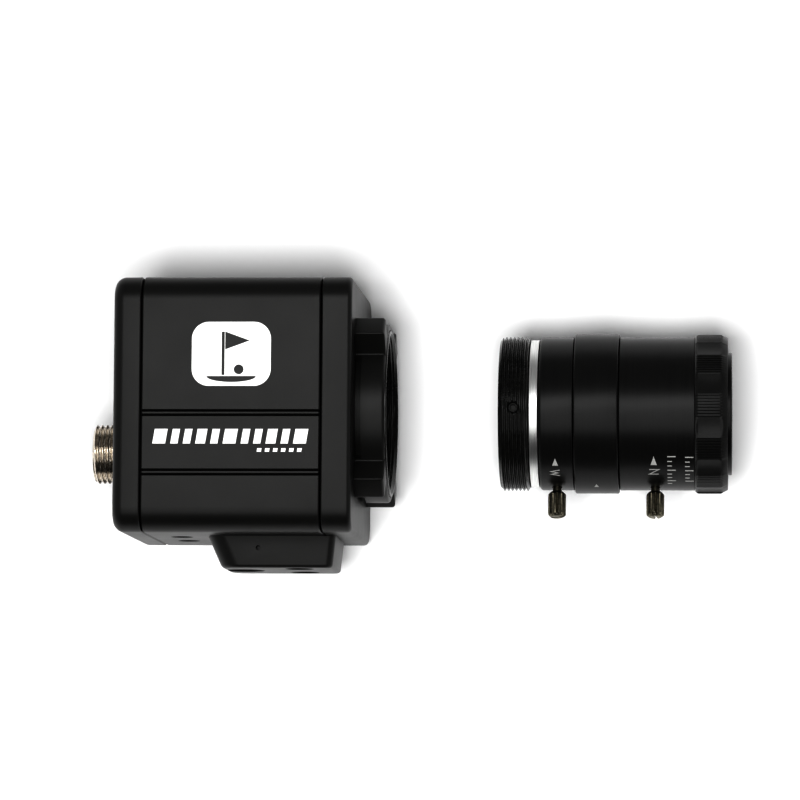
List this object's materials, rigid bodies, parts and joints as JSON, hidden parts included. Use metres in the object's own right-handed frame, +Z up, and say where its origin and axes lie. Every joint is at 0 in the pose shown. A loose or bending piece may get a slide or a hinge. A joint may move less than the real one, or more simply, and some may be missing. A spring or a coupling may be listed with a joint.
{
  "type": "launch monitor camera",
  "caption": "Square black camera unit of a launch monitor lying on its side, with its knurled manual varifocal lens drawn off the mount along the optical axis.",
  "frame": {"origin": "centre of the housing's side face that it lies on, midway along the housing", "axes": "+X along the optical axis from the housing to the lens, +Y across the housing away from the tripod block, +Z up"},
  "size_m": [0.1288, 0.0574, 0.051],
  "materials": {
    "housing_black": "satin black powder coat with a fine grain",
    "lens_black": "satin black anodise, fine turned lines",
    "grip_black": "ribbed black grip",
    "bare_aluminium": "bare turned aluminium",
    "nickel": "nickel plate, slightly warm",
    "gunmetal": "blackened knurled steel",
    "steel": "plain screw steel",
    "black_rubber": "matte",
    "black_plastic": "moulded, matte",
    "circuit_board": "solder mask",
    "amber_film": "polyimide film",
    "sensor": "dark sensor window",
    "brass": "plain brass",
    "lens_glass": "coated optical glass",
    "filter_glass": "coated filter glass"
  },
  "bodies": {
    "housing": {"rear_cap": "housing_black", "housing_sleeve": "housing_black", "front_cap": "housing_black", "lens_mount_block": "housing_black", "tripod_block": "housing_black", "mount_ring": "lens_black", "tripod_insert": "steel", "connector_shell": "nickel", "connector_nut": "nickel", "connector_insert": "black_plastic", "connector_seal": "black_rubber", "rear_gasket": "black_rubber", "front_gasket": "black_rubber", "filter_frame": "black_plastic", "ir_filter": "filter_glass", "image_sensor": "sensor", "sensor_board": "circuit_board", "interface_board": "circuit_board", "main_processor": "black_plastic", "board_link": "amber_film", "case_screw_1": "steel", "standoff_1": "brass", "contact_1": "brass", "case_screw_2": "steel", "standoff_2": "brass", "contact_2": "brass", "case_screw_3": "steel", "standoff_3": "brass", "contact_3": "brass", "case_screw_4": "steel", "standoff_4": "brass", "contact_4": "brass", "tripod_screw_1": "steel", "board_post_1": "brass", "tripod_screw_2": "steel", "board_post_2": "brass"},
    "lens_mounting": {"thread_ring": "lens_black", "thread_ring_screw": "steel"},
    "lens_barrel": {"spacer_ring": "bare_aluminium", "inner_barrel": "lens_black", "index_band": "lens_black", "rear_retainer": "black_plastic", "rear_glass": "lens_glass", "aperture_stop": "black_plastic"},
    "zoom_ring": {"zoom_ring": "lens_black"},
    "zoom_group": {"zoom_carrier": "black_plastic", "zoom_glass": "lens_glass"},
    "zoom_lock": {"zoom_lock_screw": "gunmetal"},
    "focus_ring": {"focus_barrel": "lens_black", "grip_ring": "grip_black", "front_bezel": "lens_black", "front_glass": "lens_glass"},
    "focus_group": {"focus_carrier": "black_plastic", "focus_glass": "lens_glass"},
    "focus_lock": {"focus_lock_screw": "gunmetal"}
  },
  "joints": [
    {"name": "lens_mount_slide", "type": "slide", "parent": "housing", "child": "lens_mounting", "axis": [1, 0, 0], "range_m": [-0.0275, 0.01]},
    {"name": "lens_turn", "type": "hinge", "parent": "lens_mounting", "child": "lens_barrel", "pos_m": [0.055, 0, 0.0255], "axis": [1, 0, 0], "continuous": true},
    {"name": "zoom_turn", "type": "hinge", "parent": "lens_barrel", "child": "zoom_ring", "pos_m": [0.06375, 0, 0.0255], "axis": [1, 0, 0], "range_deg": [-40, 30]},
    {"name": "zoom_group_slide", "type": "slide", "parent": "lens_barrel", "child": "zoom_group", "axis": [1, 0, 0], "range_m": [-0.0028, 0.0021]},
    {"name": "zoom_lock_turn", "type": "hinge", "parent": "zoom_ring", "child": "zoom_lock", "pos_m": [0.06375, 0, 0.0255], "axis": [0, -0.9781, 0.2079], "continuous": true},
    {"name": "focus_turn", "type": "hinge", "parent": "lens_barrel", "child": "focus_ring", "pos_m": [0.0835, 0, 0.0255], "axis": [1, 0, 0], "range_deg": [-50, 45]},
    {"name": "focus_group_slide", "type": "slide", "parent": "lens_barrel", "child": "focus_group", "axis": [1, 0, 0], "range_m": [-0.0018, 0.0016]},
    {"name": "focus_lock_turn", "type": "hinge", "parent": "focus_ring", "child": "focus_lock", "pos_m": [0.0835, 0, 0.0255], "axis": [0, -0.9781, 0.2079], "continuous": true}
  ],
  "couplings": [
    {"joint": "zoom_group_slide", "follows": "zoom_turn", "m_per_rad": 0.004},
    {"joint": "focus_group_slide", "follows": "focus_turn", "m_per_rad": 0.002}
  ]
}
